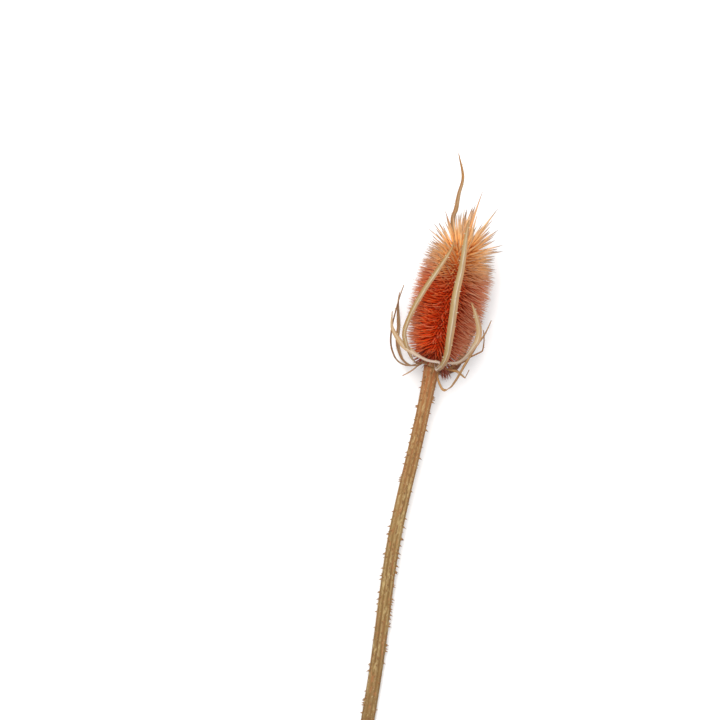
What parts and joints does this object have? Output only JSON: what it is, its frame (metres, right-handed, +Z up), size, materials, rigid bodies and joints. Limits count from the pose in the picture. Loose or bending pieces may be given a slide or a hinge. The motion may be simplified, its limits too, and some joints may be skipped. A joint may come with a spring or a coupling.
{
  "type": "teasel seed head",
  "caption": "Dried teasel seed head with coral-dyed bristles, long spiny bracts and a cut, prickly stem, lying down.",
  "frame": {"origin": "middle of the footprint on the table that the teasel lies on", "axes": "+Y along the teasel from the stem's cut end to the seed head, +Z up from the table, +X across"},
  "size_m": [0.0498, 0.3006, 0.0524],
  "materials": {
    "stalk": "dry fibrous straw-brown stalk, matt, with pale ribs",
    "bract": "dry straw-coloured leaf tissue, matt, with a pale mid-rib",
    "bristle": "stiff dry bristles dyed coral red, paler towards their tips, satin"
  },
  "bodies": {
    "root": {"stem": "stalk", "involucre": "bract", "seed_head": "bristle"}
  },
  "joints": []
}
